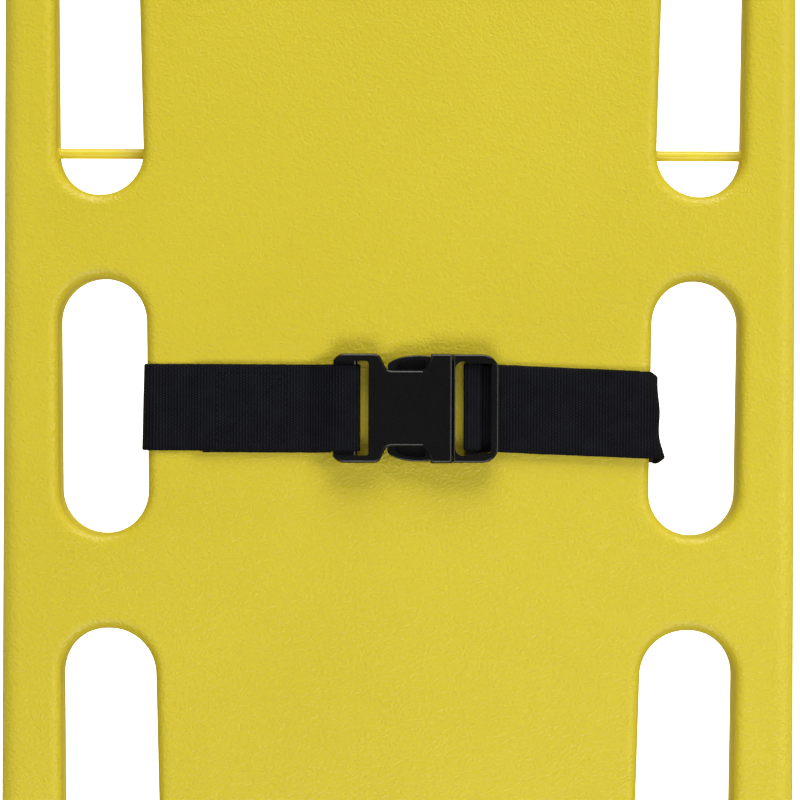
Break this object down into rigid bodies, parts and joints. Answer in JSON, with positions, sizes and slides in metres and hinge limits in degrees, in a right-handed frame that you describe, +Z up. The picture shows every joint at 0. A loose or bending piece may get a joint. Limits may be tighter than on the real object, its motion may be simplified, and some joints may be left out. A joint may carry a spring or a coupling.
{
  "type": "spine board",
  "caption": "Long rigid rescue board with tapered side handholds, speed-clip pins, end handholds, underside runners and a webbing strap with a side-release buckle.",
  "frame": {"origin": "under the middle of the board, on the surface that its runners stand on", "axes": "+X across the board to the buckle's insert side, +Y towards the head end, +Z up out of the face that a patient lies on"},
  "size_m": [0.458, 1.84, 0.0626],
  "materials": {
    "board_skin": "satin moulded polyethylene with a fine leather grain",
    "core_foam": "closed-cell foam",
    "tube_metal": "drawn tube",
    "pin_plastic": "smooth moulded polyethylene",
    "plug_plastic": "smooth moulded polyethylene",
    "buckle_plastic": "fine satin acetal",
    "webbing": "ribbed polypropylene webbing",
    "thread": "bonded polyester thread"
  },
  "bodies": {
    "board": {"upper_shell": "board_skin", "lower_shell": "board_skin", "foam_core": "core_foam", "stiffener_tube_left": "tube_metal", "stiffener_tube_right": "tube_metal", "fill_plug_foot": "plug_plastic", "fill_plug_head": "plug_plastic", "buckle_housing": "buckle_plastic", "strap_webbing": "webbing", "sewn_end_stitching": "thread", "speed_clip_pin_left_1": "pin_plastic", "speed_clip_pin_left_2": "pin_plastic", "speed_clip_pin_left_3": "pin_plastic", "speed_clip_pin_left_4": "pin_plastic", "speed_clip_pin_right_1": "pin_plastic", "speed_clip_pin_right_2": "pin_plastic", "speed_clip_pin_right_3": "pin_plastic", "speed_clip_pin_right_4": "pin_plastic"},
    "insert": {"buckle_insert": "buckle_plastic", "strap_pull_run": "webbing", "strap_tail": "webbing"},
    "prong_upper": {"upper_prong": "buckle_plastic"},
    "prong_lower": {"lower_prong": "buckle_plastic"}
  },
  "joints": [
    {"name": "buckle_release", "type": "slide", "parent": "board", "child": "insert", "axis": [1, 0, 0], "range_m": [0, 0.04], "deforming": ["strap_pull_run", "strap_tail", "upper_prong", "lower_prong"]},
    {"name": "upper_prong_squeeze", "type": "hinge", "parent": "insert", "child": "prong_upper", "pos_m": [0.0288, 0.0177, 0.0566], "axis": [0, 0, 1], "range_deg": [0, 14], "stiffness_Nm_per_rad": 0.3},
    {"name": "lower_prong_squeeze", "type": "hinge", "parent": "insert", "child": "prong_lower", "pos_m": [0.0288, -0.0273, 0.0566], "axis": [0, 0, -1], "range_deg": [0, 14], "stiffness_Nm_per_rad": 0.3}
  ]
}
